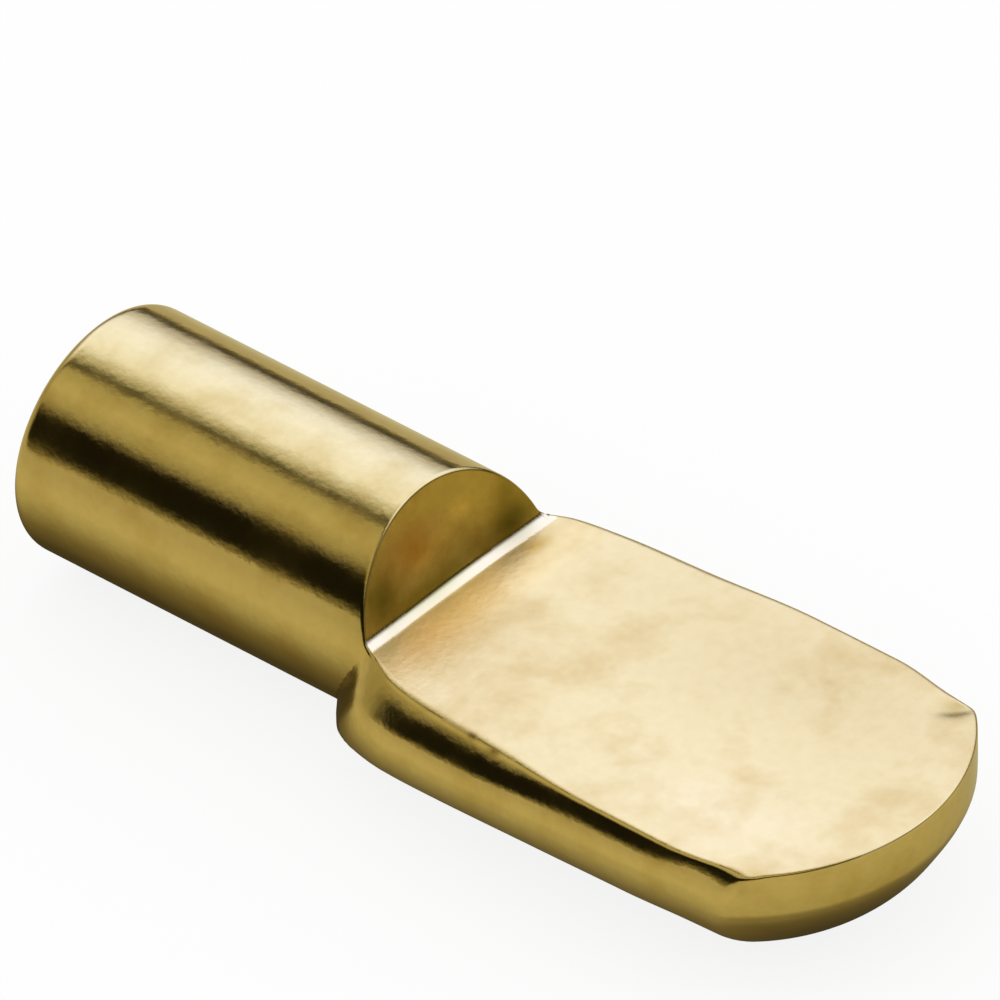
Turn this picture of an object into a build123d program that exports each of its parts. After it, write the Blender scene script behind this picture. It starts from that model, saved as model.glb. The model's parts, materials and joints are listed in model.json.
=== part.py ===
from build123d import *
import os
from math import radians, tan

# A shelf support pin, pressed from one length of solid brass rod. The round
# shank pushes into a hole in the cabinet's side, and the paddle in front of
# it carries the shelf on its flat top. X runs along the shank's axis towards
# the paddle, Z is up, and the origin is on the axis under the shoulder's top
# edge, where the full round ends.

# Driving dimensions, in millimetres and degrees
pin_radius = 3.1
pin_length = 10.0
pin_end_rounding = 0.5
overall_length = 24.8

flat_height = 0.62
shoulder_lean = 17.4
foot_radius = 0.38

neck_start = 0.3
neck_length = 2.0
body_length = 14.7

tip_crown_radius = 5.1
tip_rounding_length = 4.2
tip_rounding_depth = 3.9

# Worked out from the driving dimensions
reach = overall_length - pin_length
shoulder_foot = (pin_radius - flat_height) * tan(radians(shoulder_lean))
body_end = neck_start + body_length
outside = 2 * overall_length

# Cross-sections of the paddle before its top is pressed flat: ellipses that
# all touch the level of the shank's underside. Each has its place along the
# body, its half width and its half height.
body_sections = (
    (neck_start, pin_radius, pin_radius),
    (neck_start + neck_length, 4.10, 2.52),
    (neck_start + 0.28 * body_length, 4.29, 2.48),
    (neck_start + 0.55 * body_length, 4.38, 2.76),
    (neck_start + 0.78 * body_length, 4.29, 2.79),
    (body_end, 4.15, 2.60),
)


def across(x, z):
    """A plane across the shank's axis, seen from the paddle's end."""
    return Plane(origin=(x, 0, z), x_dir=(0, 1, 0), z_dir=(1, 0, 0))


def shank():
    """The straight round, with the rolled-over edge of its cut end."""
    rod = extrude(across(-pin_length, 0) * Circle(pin_radius), pin_length + neck_start)
    cut_end = rod.edges().sort_by(Axis.X)[0]
    return fillet(cut_end, pin_end_rounding)


def body():
    """The neck and the swollen underside, lofted through the ellipses."""
    rings = [
        across(x, half_height - pin_radius) * Ellipse(half_width, half_height)
        for x, half_width, half_height in body_sections
    ]
    return loft(rings)


def notch():
    """What the press takes off the top: the flat, its foot and the shoulder."""
    top = pin_radius + flat_height
    lean_back = (top - flat_height) * tan(radians(shoulder_lean))
    with BuildSketch(Plane.XZ) as profile:
        with BuildLine():
            Polyline(
                (shoulder_foot, flat_height),
                (outside, flat_height),
                (outside, top),
                (shoulder_foot - lean_back, top),
                close=True,
            )
        make_face()
        foot = profile.vertices().sort_by(Axis.X)[1]
        fillet(foot, foot_radius)
    return extrude(profile.sketch, outside / 2, both=True)


def tip_trim():
    """Everything past the crowned front edge and its rounding down to the underside."""
    pivot = reach - tip_crown_radius
    bow = (reach - tip_rounding_length, flat_height)
    floor = flat_height - tip_rounding_depth
    with BuildSketch(Plane.XZ) as profile:
        with BuildLine():
            EllipticalCenterArc(bow, tip_rounding_length, tip_rounding_depth, start_angle=270, arc_size=90)
            Polyline((bow[0], floor), (pivot, floor), (pivot, flat_height), (reach, flat_height))
        make_face()
    bowl = revolve(profile.sketch, Axis((pivot, 0, 0), (0, 0, 1)))
    around = Pos(pivot + outside / 2, 0, 0) * Box(outside, outside, outside)
    return around - bowl


pin = shank() + body() - tip_trim() - notch()

os.makedirs("parts", exist_ok=True)
export_step(pin, "parts/shelf_pin.step")
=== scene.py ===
import bpy
import json
import math
import numpy as np
from mathutils import Matrix, Vector


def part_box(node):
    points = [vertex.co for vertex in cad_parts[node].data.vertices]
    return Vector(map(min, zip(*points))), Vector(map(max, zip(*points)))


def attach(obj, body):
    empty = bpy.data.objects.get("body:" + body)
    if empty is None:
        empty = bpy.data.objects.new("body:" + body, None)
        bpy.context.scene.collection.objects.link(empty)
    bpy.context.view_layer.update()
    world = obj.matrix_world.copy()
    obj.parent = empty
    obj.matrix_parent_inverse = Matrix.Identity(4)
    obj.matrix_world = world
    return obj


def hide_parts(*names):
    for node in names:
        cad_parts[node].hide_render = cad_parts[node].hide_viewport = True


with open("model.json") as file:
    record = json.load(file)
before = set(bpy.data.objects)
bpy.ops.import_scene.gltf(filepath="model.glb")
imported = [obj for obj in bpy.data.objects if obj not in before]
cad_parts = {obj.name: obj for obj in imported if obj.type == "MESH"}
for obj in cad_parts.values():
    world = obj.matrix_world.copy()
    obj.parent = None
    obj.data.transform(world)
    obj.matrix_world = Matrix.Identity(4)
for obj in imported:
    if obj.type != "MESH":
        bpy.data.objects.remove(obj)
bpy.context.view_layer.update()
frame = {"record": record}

# ---------------------------------------------------------------------------
# The pin: one length of solid brass rod. The rear half is left round, and the
# front half is struck in a die, which swells its underside, crowns its front
# edge and leaves a flat on top with a leaning shoulder behind it.
# ---------------------------------------------------------------------------
MM = 0.001
mount = {m["name"]: m for m in frame["record"]["mounts"]}
pin_low, pin_high = (Vector(corner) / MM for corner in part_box("shelf_pin"))

pin_radius = mount["shank"]["dims"]["r_mm"]
seat_height = mount["shelf_rest"]["pos_m"][2] / MM
back_end = pin_low.x
reach = pin_high.x

# The shoulder leans back over the shank, and a small hollow curve joins it to the flat
shoulder_lean = math.tan(math.radians(17.4))
shoulder_foot = (pin_radius - seat_height) * shoulder_lean
foot_hollow = 0.24

# The round shank ends where the flat's level cuts its circle
edge_angle = math.asin(seat_height / pin_radius)
shank_seat_half = pin_radius * math.cos(edge_angle)

# The front edge is an arc seen from above, and rounds down to the underside
crown_radius = 5.1
crown_pivot = reach - crown_radius
bow_drop = np.array((0.0, 1.15, 1.40, 1.86, 2.48, 3.10, 3.72, 4.40))
bow_inset = np.array((0.0, 0.06, 0.15, 0.42, 0.86, 1.58, 2.95, 5.00))

# How far each edge is rounded over, and how much more where the near edge is worn
back_rounding = 0.36
seat_edge_rounding = 0.08
worn_rounding = 0.06
tip_edge_rounding = 0.10

# The rod was cut off a little out of square
cut_slant = 0.045
cut_depth = 0.05

# The swelling of the neck leans back under the shank, eases in beside the near
# edge, and starts earlier on the far side
neck_start = 0.80
neck_lean = 0.62
neck_ease = 0.45
far_side_start = 0.32
far_side_fade = 1.3

# The paddle's cross-sections: half ellipses below their widest level, which all
# touch the level of the shank's underside, and flatter halves above it, which
# meet the flat. Place, half width, lower half height, half width of the flat.
sections = np.array((
    (neck_start, pin_radius, pin_radius, shank_seat_half),
    (1.22, 3.60, 2.78, 3.31),
    (1.62, 3.95, 2.58, 3.48),
    (2.20, 4.19, 2.49, 3.60),
    (3.30, 4.38, 2.45, 3.73),
    (5.00, 4.45, 2.53, 3.84),
    (8.00, 4.49, 2.74, 4.10),
    (10.50, 4.46, 2.82, 4.11),
    (12.30, 4.28, 2.70, 3.87),
    (14.80, 4.12, 2.60, 3.68),
))


def smooth_curve(places, values, x):
    """A curve through the values that never overshoots them."""
    gaps = np.diff(places)
    slopes = np.diff(values) / gaps
    tangents = np.zeros_like(values)
    tangents[0], tangents[-1] = slopes[0], slopes[-1]
    same_way = slopes[:-1] * slopes[1:] > 0
    harmonic = 2 * slopes[:-1] * slopes[1:] / np.where(same_way, slopes[:-1] + slopes[1:], 1)
    tangents[1:-1] = np.where(same_way, harmonic, 0)
    x = np.clip(x, places[0], places[-1])
    i = np.clip(np.searchsorted(places, x) - 1, 0, len(gaps) - 1)
    t = (x - places[i]) / gaps[i]
    rise = values[i] * (1 + 2 * t) * (1 - t) ** 2 + values[i + 1] * t**2 * (3 - 2 * t)
    return rise + gaps[i] * (tangents[i] * t * (1 - t) ** 2 - tangents[i + 1] * t**2 * (1 - t))


def section_at(x):
    """Half width, widest level, half height below it and half height above it."""
    wide, low, seat = (smooth_curve(sections[:, 0], sections[:, column], x) for column in (1, 2, 3))
    middle = low - pin_radius
    return wide, middle, low, (seat_height - middle) / np.sqrt(1 - (seat / wide) ** 2)


def seat_half_width(x):
    return smooth_curve(sections[:, 0], sections[:, 3], x)


def either(a, b, blend):
    """The larger of two distances, with the corner between them rounded off."""
    overlap = np.maximum(blend - np.abs(a - b), 0) / blend
    return np.maximum(a, b) + overlap**2 * blend / 4


def both(a, b, blend):
    """The smaller of two distances, with the hollow between them filled in."""
    return -either(-a, -b, blend)


def hump(x, centre, spread):
    return np.exp(-(((x - centre) / spread) ** 2))


def seat_level(x, y):
    """The struck flat, which is a little uneven from the die."""
    waves = 0.006 * np.sin(0.9 * x + 0.5) * np.cos(1.1 * y) + 0.004 * np.sin(1.7 * y - 0.6 * x)
    far_corner_dent = 0.09 * hump(x - 0.5 * y, 10.9, 0.30) * hump(y, 3.6, 0.40)
    near_corner_sag = 0.05 * hump(x, 13.1, 0.30) * hump(y, -3.8, 0.22)
    return seat_height + waves - far_corner_dent - near_corner_sag


def bow_inset_at(z):
    """How far back the bow has rounded at height z."""
    return smooth_curve(bow_drop, bow_inset, seat_height - z)


def surface(x, y, z):
    """Below nought inside the metal, above it outside, in about millimetres."""
    near_side = 0.5 - 0.5 * np.tanh(2 * y)
    along = x + neck_lean * (seat_height - z)
    swollen = 1 - np.exp(-np.maximum(along - neck_start, 0) / neck_ease)
    along = along - near_side * neck_ease * swollen * np.exp(-np.maximum(seat_height - z, 0))
    along = along + (1 - near_side) * far_side_start * hump(along, neck_start, far_side_fade)
    wide, middle, low, high = section_at(along)
    high = np.where(z > middle, high, low)
    ring = np.hypot(y / wide, (z - middle) / high)
    slope = np.hypot(y / wide**2, (z - middle) / high**2) / np.maximum(ring, 1e-6)
    round_body = (ring - 1) / np.maximum(slope, 1e-6)

    wall = (x - shoulder_foot + shoulder_lean * (z - seat_height)) / math.hypot(1, shoulder_lean)
    wall_hollow = 0.05 * hump(y, 0.3, 1.4) * hump(z, 1.7, 0.8)
    wall = wall + wall_hollow
    top = both(z - seat_level(x, y), wall, foot_hollow)
    worn = near_side * worn_rounding * (hump(x, 4.6, 2.2) + hump(x, 12.7, 0.4))
    metal = either(round_body, top, seat_edge_rounding + worn)

    nudge = 0.01
    bow_slope = (bow_inset_at(z - nudge) - bow_inset_at(z + nudge)) / (2 * nudge)
    out = np.hypot(np.maximum(x - crown_pivot, 0), y)
    bow = (out - crown_radius + bow_inset_at(z)) / np.hypot(1, bow_slope)
    metal = either(metal, bow, tip_edge_rounding)
    return either(metal, back_end - x + cut_slant * z - cut_depth, back_rounding)


def slopes_at(points):
    """Which way the surface faces at each point, scaled by how fast it changes."""
    step = 1e-4
    here = [points[:, axis] for axis in range(3)]
    gradient = np.empty_like(points)
    for axis in range(3):
        ahead, behind = list(here), list(here)
        ahead[axis] = here[axis] + step
        behind[axis] = here[axis] - step
        gradient[:, axis] = (surface(*ahead) - surface(*behind)) / (2 * step)
    return gradient


def settle(points, rounds=12):
    """Moves each point straight onto the metal's surface."""
    least_slope, longest_step = 0.2, 0.2
    for _ in range(rounds):
        gradient = slopes_at(points)
        step = surface(*points.T) / np.maximum((gradient**2).sum(1), least_slope)
        points = points - np.clip(step, -longest_step, longest_step)[:, None] * gradient
    return points


def bunched(count, low, high, ends=0.6):
    """Places from low to high that lie closer together near both ends."""
    even = np.linspace(-1, 1, count)
    drawn_out = (1 - ends) * even + ends * np.sin(even * math.pi / 2)
    return low + (high - low) * (0.5 + 0.5 * drawn_out)


def along_piece(back_rows, middle_rows, front_rows, back_share, front_share):
    """Shares from 0 to 1, closer together before back_share and after front_share."""
    back = bunched(back_rows, 0, back_share)
    middle = np.linspace(back_share, front_share, middle_rows)
    front = bunched(front_rows, front_share, 1)
    return np.concatenate((back, middle[1:], front[1:]))


across = bunched(129, 1, -1)
# The flat's first ring lies this far ahead of the shoulder's foot at its two ends
foot_skew = 0.5


def under_side(x, share):
    """Points round the underside at x, from one edge of the flat to the other."""
    wide, middle, low, high = section_at(x)
    start = np.arcsin(np.clip((seat_height - middle) / high, -1, 1))
    turn = -math.pi / 2 + share * (math.pi / 2 + start)
    high = np.where(np.sin(turn) > 0, high, low)
    return np.stack((x + 0 * share, wide * np.cos(turn), middle + high * np.sin(turn)), -1)


def under_points(places):
    """One point of the underside for each of the places across."""
    return np.stack([under_side(x, np.array([share]))[0] for x, share in zip(places, across)])


def bow_radius(z):
    """How far the bow stands out from its pivot at height z."""
    return crown_radius - bow_inset_at(z)


def shank_rows():
    """Rings along the shank, whose upper ends follow the shoulder's edge."""
    y = across * shank_seat_half
    z = np.sqrt(pin_radius**2 - y**2)
    edge_x = shoulder_foot - shoulder_lean * (z - seat_height)
    for share in along_piece(26, 24, 46, 0.12, 0.80):
        x = back_end + share * (edge_x - back_end)
        upper = np.stack((x, y, z), -1)
        lower = under_side(back_end + share * (shoulder_foot - back_end), across)
        yield upper, lower


def shoulder_rows():
    """Rings that climb down the shoulder to its foot."""
    y = across * shank_seat_half
    top = np.sqrt(pin_radius**2 - y**2)
    for share in bunched(44, 0, 1)[1:]:
        z = top + share * (seat_height - top)
        under_x = shoulder_foot + foot_skew * share
        spread = 1 + share * (seat_half_width(under_x) / shank_seat_half - 1) * across**2
        x = shoulder_foot - shoulder_lean * (z - seat_height) + foot_skew * share * np.abs(across) ** 6
        yield np.stack((x, y * spread, z), -1), under_side(under_x, across)


def crown_corner():
    """Where the flat's side meets its crowned front edge."""
    x = reach - 1.5
    for _ in range(20):
        x = crown_pivot + math.sqrt(crown_radius**2 - seat_half_width(x) ** 2)
    return x


corner_x = crown_corner()


def paddle_rows():
    """Rings along the paddle, whose ends lie on the crowned front edge."""
    foot_x = shoulder_foot + foot_skew * np.abs(across) ** 6
    front_y = across * seat_half_width(corner_x)
    front_x = crown_pivot + np.sqrt(crown_radius**2 - front_y**2)
    under_end = np.full_like(across, corner_x)
    for _ in range(30):
        end = under_points(under_end)
        on_bow = crown_pivot + np.sqrt(np.maximum(bow_radius(end[:, 2]) ** 2 - end[:, 1] ** 2, 0))
        under_end = 0.5 * under_end + 0.5 * on_bow
    start = shoulder_foot + foot_skew
    for share in along_piece(16, 90, 34, 0.06, 0.9)[1:]:
        x = foot_x + share * (front_x - foot_x)
        upper = np.stack((x, across * seat_half_width(x), seat_height + 0 * x), -1)
        yield upper, under_points(start + share * (under_end - start))


def front_rows(upper, lower):
    """Rows down the bow, from the crowned edge to where the underside meets it."""
    for share in bunched(48, 0, 1)[1:-1]:
        between = upper + share * (lower - upper)
        reach_here = bow_radius(between[:, 2])
        between[:, 0] = crown_pivot + np.sqrt(np.maximum(reach_here**2 - between[:, 1] ** 2, 0.01))
        yield between


def back_rows(upper, lower):
    """Rows over the cut end of the rod."""
    for share in bunched(34, 0, 1)[1:-1]:
        yield upper + share * (lower - upper)


def pin_mesh():
    """Rings from the rear edge to the front edge, closed by a cap at each end."""
    rings = [*shank_rows(), *shoulder_rows(), *paddle_rows()]
    columns = len(across)
    loops = [np.concatenate((upper, lower[-2:0:-1])) for upper, lower in rings]
    around = len(loops[0])
    points = list(loops)
    faces = []
    for row in range(len(loops) - 1):
        for k in range(around):
            a, b = row * around + k, row * around + (k + 1) % around
            faces.append((a, b, b + around, a + around))
    count = len(loops) * around

    def cap(ring_start, rows, outward):
        nonlocal count
        top = [ring_start + k for k in range(columns)]
        under = [ring_start + around - k for k in range(1, columns - 1)]
        lines = [top]
        for row in rows:
            points.append(row[1:-1])
            inner = list(range(count, count + columns - 2))
            count += columns - 2
            lines.append([top[0], *inner, top[-1]])
        lines.append([top[0], *under, top[-1]])
        for above, below in zip(lines, lines[1:]):
            for k in range(columns - 1):
                # The rows meet at both ends, where a face has three corners
                corners = tuple(dict.fromkeys((above[k], above[k + 1], below[k + 1], below[k])))
                faces.append(corners if outward else corners[::-1])

    cap(0, back_rows(*rings[0]), False)
    cap((len(loops) - 1) * around, front_rows(*rings[-1]), True)
    points = settle(np.concatenate(points))
    normals = slopes_at(points)
    normals /= np.linalg.norm(normals, axis=1)[:, None]
    mesh = bpy.data.meshes.new("pin_body")
    mesh.from_pydata(points * MM, [], faces)
    mesh.validate()
    mesh.polygons.foreach_set("use_smooth", np.ones(len(mesh.polygons), dtype=bool))
    mesh.normals_split_custom_set_from_vertices(normals)
    return mesh


pin = bpy.data.objects.new("pin_body", pin_mesh())
bpy.context.collection.objects.link(pin)
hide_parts("shelf_pin")
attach(pin, "root")


# ---------------------------------------------------------------------------
# The pin's finish: bare brass. The round parts are tumbled bright, and the struck
# faces keep the die's satin, with rubbed and tarnished patches. The shoulder and the
# hollow at its foot get darker and paler copies of the brass, as painted shade and a
# painted highlight.
# ---------------------------------------------------------------------------
def shader_group(name, inputs, outputs):
    """A node group with named inputs and outputs, and its two end nodes."""
    group = bpy.data.node_groups.new(name, "ShaderNodeTree")
    for label, kind, value in inputs:
        group.interface.new_socket(label, in_out="INPUT", socket_type=kind).default_value = value
    for label, kind in outputs:
        group.interface.new_socket(label, in_out="OUTPUT", socket_type=kind)
    return group, group.nodes.new("NodeGroupInput"), group.nodes.new("NodeGroupOutput")


def math_node(nodes, links, operation, first, second):
    """One operation on two sockets or numbers."""
    node = nodes.new("ShaderNodeMath")
    node.operation = operation
    for socket, value in zip(node.inputs, (first, second)):
        if isinstance(value, (int, float)):
            socket.default_value = value
        else:
            links.new(value, socket)
    return node.outputs[0]


def noise_node(nodes, links, vector, scale, detail):
    node = nodes.new("ShaderNodeTexNoise")
    links.new(vector, node.inputs["Vector"])
    links.new(scale, node.inputs["Scale"])
    node.inputs["Detail"].default_value = detail
    return node.outputs["Fac"]


def tarnish_group():
    """Cloudy patches of a second colour, broken up by a finer grain."""
    group, given, made = shader_group(
        "tarnish",
        (
            ("Vector", "NodeSocketVector", (0, 0, 0)),
            ("Clean", "NodeSocketColor", (1, 1, 1, 1)),
            ("Tarnished", "NodeSocketColor", (0, 0, 0, 1)),
            ("Patches", "NodeSocketFloat", 300.0),
            ("Grain", "NodeSocketFloat", 3000.0),
            ("Amount", "NodeSocketFloat", 0.5),
        ),
        (("Colour", "NodeSocketColor"), ("Mask", "NodeSocketFloat")),
    )
    nodes, links = group.nodes, group.links
    cloud = noise_node(nodes, links, given.outputs["Vector"], given.outputs["Patches"], 4)
    grain = noise_node(nodes, links, given.outputs["Vector"], given.outputs["Grain"], 3)
    spread = nodes.new("ShaderNodeMapRange")
    spread.inputs["From Min"].default_value = 0.46
    spread.inputs["From Max"].default_value = 0.68
    links.new(cloud, spread.inputs["Value"])
    speckle = math_node(nodes, links, "MULTIPLY_ADD", grain, 0.9)
    speckle.node.inputs[2].default_value = -0.28
    mask = math_node(nodes, links, "ADD", spread.outputs["Result"], speckle)
    mask = math_node(nodes, links, "MULTIPLY", mask, given.outputs["Amount"])
    mask.node.use_clamp = True
    mix = nodes.new("ShaderNodeMix")
    mix.data_type = "RGBA"
    links.new(mask, mix.inputs["Factor"])
    links.new(given.outputs["Clean"], mix.inputs["A"])
    links.new(given.outputs["Tarnished"], mix.inputs["B"])
    links.new(mix.outputs["Result"], made.inputs["Colour"])
    links.new(mask, made.inputs["Mask"])
    return group


def rubbing_group():
    """Low dents with fine handling marks over them, as a height."""
    group, given, made = shader_group(
        "rubbing",
        (
            ("Vector", "NodeSocketVector", (0, 0, 0)),
            ("Dents", "NodeSocketFloat", 500.0),
            ("Dent Depth", "NodeSocketFloat", 1.0),
            ("Marks", "NodeSocketFloat", 3000.0),
            ("Mark Depth", "NodeSocketFloat", 0.2),
        ),
        (("Height", "NodeSocketFloat"),),
    )
    nodes, links = group.nodes, group.links
    dents = noise_node(nodes, links, given.outputs["Vector"], given.outputs["Dents"], 2)
    marks = noise_node(nodes, links, given.outputs["Vector"], given.outputs["Marks"], 3)
    deep = math_node(nodes, links, "MULTIPLY", dents, given.outputs["Dent Depth"])
    fine = math_node(nodes, links, "MULTIPLY", marks, given.outputs["Mark Depth"])
    links.new(math_node(nodes, links, "ADD", deep, fine), made.inputs["Height"])
    return group


tarnish, rubbing = tarnish_group(), rubbing_group()
tarnish_dulls = 0.12
bump_height = 0.01 * MM


def place_group(nodes, links, group, vector, **values):
    """A copy of a group in a material, with its inputs set by name."""
    node = nodes.new("ShaderNodeGroup")
    node.node_tree = group
    links.new(vector, node.inputs["Vector"])
    for label, value in values.items():
        node.inputs[label.replace("_", " ")].default_value = value
    return node


def brass_material(name, roughness, clean, stained, patches, amount, dents, dent_depth, marks, mark_depth):
    """Brass with clouds of tarnish, multiplied by the tint attribute's painted light and shade, with dents
    under fine marks.
    """
    material = bpy.data.materials.new(name)
    material.use_nodes = True
    nodes, links = material.node_tree.nodes, material.node_tree.links
    finish = nodes["Principled BSDF"]
    finish.inputs["Metallic"].default_value = 1
    where = nodes.new("ShaderNodeTexCoord").outputs["Object"]
    colour = place_group(
        nodes, links, tarnish, where,
        Clean=(*clean, 1), Tarnished=(*stained, 1), Patches=patches, Grain=6 * patches, Amount=amount,
    )
    tinted = nodes.new("ShaderNodeMix")
    tinted.data_type = "RGBA"
    tinted.blend_type = "MULTIPLY"
    tinted.inputs["Factor"].default_value = 1
    # The tint attribute multiplies in painted light and shade, and a few patches
    painted_light_and_patch_tint = nodes.new("ShaderNodeAttribute")
    painted_light_and_patch_tint.attribute_name = "painted_light_and_patch_tint"
    links.new(colour.outputs["Colour"], tinted.inputs["A"])
    links.new(painted_light_and_patch_tint.outputs["Color"], tinted.inputs["B"])
    links.new(tinted.outputs["Result"], finish.inputs["Base Color"])
    rough = nodes.new("ShaderNodeMapRange")
    rough.inputs["To Min"].default_value = roughness
    rough.inputs["To Max"].default_value = roughness + tarnish_dulls
    links.new(colour.outputs["Mask"], rough.inputs["Value"])
    links.new(rough.outputs["Result"], finish.inputs["Roughness"])
    height = place_group(
        nodes, links, rubbing, where,
        Dents=dents, Dent_Depth=dent_depth, Marks=marks, Mark_Depth=mark_depth,
    )
    bump = nodes.new("ShaderNodeBump")
    bump.inputs["Distance"].default_value = bump_height
    links.new(height.outputs["Height"], bump.inputs["Height"])
    links.new(bump.outputs["Normal"], finish.inputs["Normal"])
    return material


pin.data.materials.append(brass_material(
    "tumbled_brass", roughness=0.10, clean=(0.77, 0.60, 0.24), stained=(0.62, 0.44, 0.13),
    patches=700, amount=0.55, dents=1200, dent_depth=0.9, marks=6500, mark_depth=0.32,
))
pin.data.materials.append(brass_material(
    "struck_brass", roughness=0.30, clean=(0.82, 0.63, 0.255), stained=(0.68, 0.45, 0.13),
    patches=620, amount=0.45, dents=700, dent_depth=1.6, marks=6000, mark_depth=0.65,
))
# A darker copy of the brass for the shoulder, as painted shade for its dark reflections
pin.data.materials.append(brass_material(
    "shoulder_brass_painted_dark", roughness=0.16, clean=(0.58, 0.40, 0.085), stained=(0.40, 0.24, 0.03),
    patches=600, amount=0.70, dents=500, dent_depth=2.2, marks=5000, mark_depth=0.30,
))
# A paler copy of the brass for the hollow at the shoulder's foot, as a painted highlight
pin.data.materials.append(brass_material(
    "foot_brass_painted_bright", roughness=0.18, clean=(0.91, 0.75, 0.43), stained=(0.84, 0.66, 0.33),
    patches=900, amount=0.30, dents=700, dent_depth=0.6, marks=5000, mark_depth=0.20,
))
# The places of these four in the pin's list of materials
ROUND, SEAT, SHOULDER, FOOT = range(4)


def paint_faces(mesh):
    """Gives the flat its own finish, and the shoulder and the hollow at its foot their painted-dark and
    painted-bright copies of the brass.
    """
    middles = np.empty(3 * len(mesh.polygons))
    mesh.polygons.foreach_get("center", middles)
    x, _, z = (middles / MM).reshape(-1, 3).T
    normals = np.empty(3 * len(mesh.polygons))
    mesh.polygons.foreach_get("normal", normals)
    nx, _, nz = normals.reshape(-1, 3).T
    seat = (nz > 0.9) & (z < seat_height + 0.3) & (x > shoulder_foot)
    shoulder = (nx > 0.75) & (z > seat_height + 0.1) & (x < shoulder_foot + 0.4)
    foot = (nx > 0.10) & (nz > 0.5) & (np.abs(x - shoulder_foot) < 0.5) & (z < seat_height + 0.3)
    finish = np.select((foot, seat, shoulder), (FOOT, SEAT, SHOULDER), ROUND)
    mesh.polygons.foreach_set("material_index", finish.astype(np.int32))


paint_faces(pin.data)

# Painted light and shade, and a few dark or pale patches: where, how far they spread, their tint
painted_light_and_patches = (
    # Painted shade and dark reflections on the shoulder, darkest at its lower corners and along its foot,
    # and in the corner at its far foot
    ((0.54, -2.15, 1.38), (0.8, 0.55, 0.52), (0.45, 0.52, 0.30)),
    ((0.40, -0.85, 1.95), (0.8, 0.70, 0.55), (0.90, 0.66, 0.42)),
    ((0.63, 2.15, 1.05), (0.8, 0.75, 0.40), (0.36, 0.42, 0.24)),
    ((0.68, -0.60, 0.90), (0.8, 1.60, 0.26), (0.62, 0.68, 0.42)),
    ((0.40, 2.25, 1.75), (0.8, 0.30, 0.40), (0.70, 0.72, 0.55)),
    ((1.30, 2.20, 0.62), (0.24, 0.45, 0.3), (0.78, 0.64, 0.36)),
    # Painted light: the flat made paler beside the shoulder, where the shoulder's reflection darkens it
    ((1.60, 0.00, 0.62), (0.65, 2.80, 0.3), (1.16, 1.10, 0.98)),
    # Painted highlight along the shoulder's ridge
    ((0.50, -0.65, 1.52), (0.8, 0.40, 0.16), (1.25, 1.25, 1.20)),
    ((0.42, 0.10, 1.74), (0.8, 0.40, 0.18), (1.25, 1.25, 1.20)),
    ((0.36, 0.75, 2.02), (0.8, 0.40, 0.22), (1.30, 1.30, 1.25)),
    # Painted shade on the paddle's underside, towards the tip and along its near side
    ((13.7, -1.00, -1.75), (1.8, 5.00, 0.80), (0.45, 0.41, 0.30)),
    ((9.00, -3.00, -2.30), (5.0, 2.00, 0.55), (0.60, 0.56, 0.45)),
    # A paler, cooler patch on the near half of the flat and a slightly darker far half
    ((11.3, -2.60, 0.62), (2.6, 1.30, 0.3), (1.06, 1.08, 1.18)),
    ((9.50, 2.60, 0.62), (5.00, 2.20, 0.3), (0.90, 0.88, 0.84)),
    # Painted dark reflection at the flat's far front corner
    ((12.77, 3.50, 0.62), (0.35, 0.30, 0.3), (0.70, 0.66, 0.50)),
    # Two small dark spots on the flat's near edge
    ((4.72, -3.82, 0.60), (0.13, 0.07, 0.2), (0.25, 0.18, 0.06)),
    ((5.45, -3.93, 0.60), (0.15, 0.06, 0.2), (0.30, 0.22, 0.08)),
    # Painted dark reflection down the edge of the near front corner
    ((13.02, -4.12, 0.20), (0.12, 0.14, 0.38), (0.16, 0.12, 0.04)),
)


def paint_light_and_patches(mesh):
    """Writes the painted light and shade, and the patches, as a tint that the brass is multiplied by."""
    places = np.empty(3 * len(mesh.vertices))
    mesh.vertices.foreach_get("co", places)
    places = (places / MM).reshape(-1, 3)
    painted_light_and_patch_tint = np.ones((len(places), 4))
    for centre, spread, colour in painted_light_and_patches:
        weight = np.exp(-(((places - centre) / spread) ** 2).sum(1))[:, None]
        painted_light_and_patch_tint[:, :3] *= 1 - weight * (1 - np.array(colour))
    mesh.color_attributes.new("painted_light_and_patch_tint", "FLOAT_COLOR", "POINT").data.foreach_set("color", painted_light_and_patch_tint.ravel())


paint_light_and_patches(pin.data)

# ---------------------------------------------------------------------------
# The studio: a plain white floor under an even sky, with strip cards along the pin
# and a warm floor card with a painted shadow under it, which only its reflections see.
# ---------------------------------------------------------------------------
floor_z = pin_low.z * MM
FLOOR_LIFT = 0.86
CARD_GAIN = 3.0


def keep_to_reflections(piece):
    """Hides a card from everything but the metal's reflections."""
    for ray in ("camera", "diffuse", "shadow", "transmission", "volume_scatter"):
        setattr(piece, "visible_" + ray, False)


def level_square(name, half, z, material):
    mesh = bpy.data.meshes.new(name)
    corners = [(-half, -half, z), (half, -half, z), (half, half, z), (-half, half, z)]
    mesh.from_pydata(corners, [], [(0, 1, 2, 3)])
    mesh.materials.append(material)
    piece = bpy.data.objects.new(name, mesh)
    bpy.context.collection.objects.link(piece)
    return piece


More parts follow.
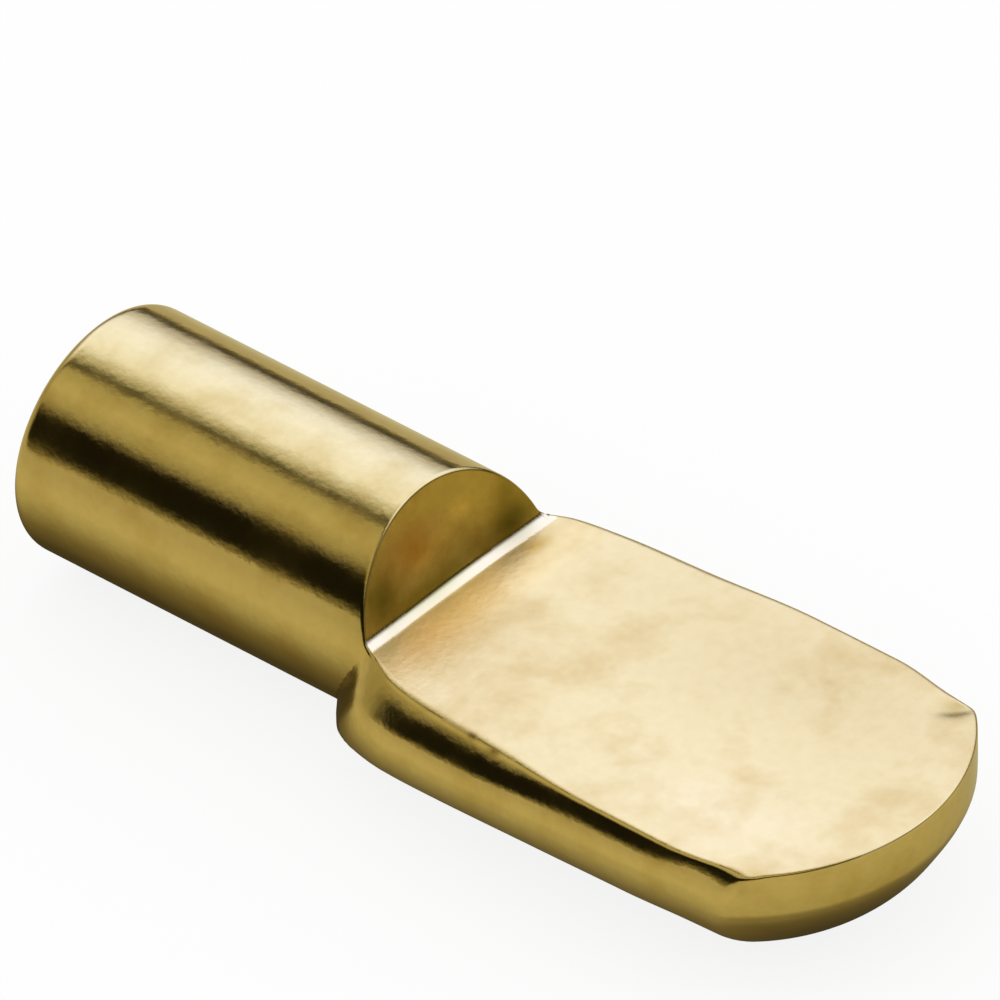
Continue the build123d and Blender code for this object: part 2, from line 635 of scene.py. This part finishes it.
paper = bpy.data.materials.new("white_paper")
paper.use_nodes = True
paper_shader = paper.node_tree.nodes["Principled BSDF"]
paper_shader.inputs["Base Color"].default_value = (0.95, 0.95, 0.95, 1)
paper_shader.inputs["Roughness"].default_value = 0.9
paper_shader.inputs["Specular IOR Level"].default_value = 0
nodes, links = paper.node_tree.nodes, paper.node_tree.links
rays = nodes.new("ShaderNodeLightPath").outputs
seen = math_node(nodes, links, "MAXIMUM", rays["Is Camera Ray"], rays["Is Glossy Ray"])
seen = math_node(nodes, links, "MAXIMUM", seen, rays["Is Transmission Ray"])
white = nodes.new("ShaderNodeEmission")
blend = nodes.new("ShaderNodeMixShader")
links.new(math_node(nodes, links, "MULTIPLY", seen, FLOOR_LIFT), blend.inputs["Fac"])
links.new(paper_shader.outputs[0], blend.inputs[1])
links.new(white.outputs[0], blend.inputs[2])
links.new(blend.outputs[0], nodes["Material Output"].inputs["Surface"])
level_square("floor", 4, floor_z, paper)


def glowing(name):
    """A material that only gives light, and the nodes to colour it with."""
    material = bpy.data.materials.new(name)
    material.use_nodes = True
    nodes, links = material.node_tree.nodes, material.node_tree.links
    nodes.clear()
    glow = nodes.new("ShaderNodeEmission")
    links.new(glow.outputs[0], nodes.new("ShaderNodeOutputMaterial").inputs["Surface"])
    return material, nodes, links, glow


def ramp(nodes, stops):
    """Colours between the stops, each a place from 0 to 1 and a colour."""
    node = nodes.new("ShaderNodeValToRGB")
    elements = node.color_ramp.elements
    while len(elements) < len(stops):
        elements.new(0.5)
    for element, (place, colour) in zip(elements, sorted(stops)):
        element.position = place
        element.color = (*colour, 1)
    return node


# Degrees up from the near side and over the top, and the light that comes from there
strips = (
    (0, (0.30, 0.26, 0.12)),
    (8, (0.01, 0.01, 0.005)),
    (34, (0.01, 0.008, 0.004)),
    (44, (0.42, 0.38, 0.22)),
    (60, (0.60, 0.55, 0.32)),
    (76, (0.48, 0.44, 0.26)),
    (84, (0.05, 0.04, 0.015)),
    (92, (0.60, 0.60, 0.52)),
    (104, (1.15, 1.25, 1.80)),
    (132, (1.25, 1.42, 2.40)),
    (148, (1.12, 1.28, 2.10)),
    (164, (0.55, 0.56, 0.68)),
    (171, (0.03, 0.025, 0.01)),
    (178, (0.16, 0.14, 0.08)),
)
tent_glow, nodes, links, glow = glowing("tent_strips")
place = nodes.new("ShaderNodeTexCoord")
split = nodes.new("ShaderNodeSeparateXYZ")
links.new(place.outputs["Object"], split.inputs[0])
near = math_node(nodes, links, "MULTIPLY", split.outputs["Y"], -1)
angle = math_node(nodes, links, "ARCTAN2", split.outputs["Z"], near)
bands = ramp(nodes, [(a / 180, tuple(c / CARD_GAIN for c in colour)) for a, colour in strips])
links.new(math_node(nodes, links, "DIVIDE", angle, math.pi), bands.inputs[0])

# A card behind the rear end, and a flag that dims the strips in front of the paddle
heading = nodes.new("ShaderNodeVectorMath")
heading.operation = "NORMALIZE"
links.new(place.outputs["Object"], heading.inputs[0])
ahead = nodes.new("ShaderNodeSeparateXYZ")
links.new(heading.outputs[0], ahead.inputs[0])
rear_card = nodes.new("ShaderNodeMapRange")
rear_card.inputs["From Min"].default_value = -0.76
rear_card.inputs["From Max"].default_value = -0.92
links.new(ahead.outputs["X"], rear_card.inputs["Value"])
behind = nodes.new("ShaderNodeMix")
behind.data_type = "RGBA"
behind.inputs["B"].default_value = (0.14, 0.13, 0.075, 1)
links.new(rear_card.outputs["Result"], behind.inputs["Factor"])
links.new(bands.outputs[0], behind.inputs["A"])
links.new(behind.outputs["Result"], glow.inputs["Color"])
front_flag = nodes.new("ShaderNodeMapRange")
front_flag.inputs["From Min"].default_value = 0.68
front_flag.inputs["From Max"].default_value = 0.80
front_flag.inputs["To Min"].default_value = CARD_GAIN
front_flag.inputs["To Max"].default_value = 0.3 * CARD_GAIN
links.new(ahead.outputs["X"], front_flag.inputs["Value"])
links.new(front_flag.outputs["Result"], glow.inputs["Strength"])

bpy.ops.mesh.primitive_uv_sphere_add(segments=96, ring_count=48, radius=3)
tent = bpy.context.object
tent.name = "light_tent"
tent.data.materials.append(tent_glow)
keep_to_reflections(tent)

# A warm card on the floor, seen only in reflections, with a painted shadow that falls dark under the pin
card_spread = 25 * MM
card_height = 0.02 * MM
card_front = (reach - 4.2) * MM
card_glow, nodes, links, glow = glowing("warm_card_painted_shadow")
place = nodes.new("ShaderNodeTexCoord")
split = nodes.new("ShaderNodeSeparateXYZ")
links.new(place.outputs["Object"], split.inputs[0])
nearest = nodes.new("ShaderNodeClamp")
nearest.inputs["Min"].default_value = back_end * MM
nearest.inputs["Max"].default_value = card_front
links.new(split.outputs["X"], nearest.inputs["Value"])
beyond = math_node(nodes, links, "SUBTRACT", split.outputs["X"], nearest.outputs[0])
offset = nodes.new("ShaderNodeCombineXYZ")
links.new(beyond, offset.inputs["X"])
links.new(split.outputs["Y"], offset.inputs["Y"])
away = nodes.new("ShaderNodeVectorMath")
away.operation = "LENGTH"
links.new(offset.outputs[0], away.inputs[0])
spread = nodes.new("ShaderNodeMapRange")
spread.inputs["From Max"].default_value = card_spread
links.new(away.outputs["Value"], spread.inputs["Value"])
# Share of the spread away from the pin's axis, and the card's light there, darkest near the axis as a
# painted shadow
fall = (
    (0.00, (0.03, 0.02, 0.01)),
    (0.10, (0.07, 0.055, 0.02)),
    (0.155, (0.19, 0.155, 0.065)),
    (0.24, (0.47, 0.43, 0.24)),
    (0.34, (0.60, 0.55, 0.33)),
    (1.00, (0.52, 0.47, 0.29)),
)
shade = ramp(nodes, fall)
links.new(spread.outputs["Result"], shade.inputs[0])
links.new(shade.outputs[0], glow.inputs["Color"])
keep_to_reflections(level_square("warm_card_painted_shadow", 2.5, floor_z + card_height, card_glow))

world = bpy.data.worlds.new("even_sky")
bpy.context.scene.world = world
world.use_nodes = True
world.node_tree.nodes["Background"].inputs["Color"].default_value = (1, 1, 1, 1)
world.node_tree.nodes["Background"].inputs["Strength"].default_value = 1.0

# ---------------------------------------------------------------------------
# The camera looks down on the near side from in front of the paddle, through a
# very long lens.
# ---------------------------------------------------------------------------
azimuth, elevation, roll = math.radians(44.02), math.radians(37.99), math.radians(-3.80)
camera_distance = 300 * pin_radius * MM
level = Vector((math.sin(azimuth), -math.cos(azimuth), 0))
back = level * math.cos(elevation) + Vector((0, 0, math.sin(elevation)))
right = Vector((math.cos(azimuth), math.sin(azimuth), 0))
up = back.cross(right)
turned_right = math.cos(roll) * right + math.sin(roll) * up
turned_up = -math.sin(roll) * right + math.cos(roll) * up
# Where the view is centred, in shank radii from the origin
aim = (Vector((0.25, 0, 0)) + 0.370 * right + 0.747 * up) * pin_radius * MM
lens_data = bpy.data.cameras.new("camera")
lens_data.sensor_width = 36
lens_data.lens = 1483
lens_data.clip_start = 0.1
lens_data.clip_end = 20
camera = bpy.data.objects.new("camera", lens_data)
turn = Matrix((turned_right, turned_up, back)).transposed()
camera.matrix_world = Matrix.Translation(aim + back * camera_distance) @ turn.to_4x4()
bpy.context.collection.objects.link(camera)
bpy.context.scene.camera = camera
bpy.context.scene.view_settings.view_transform = "Standard"
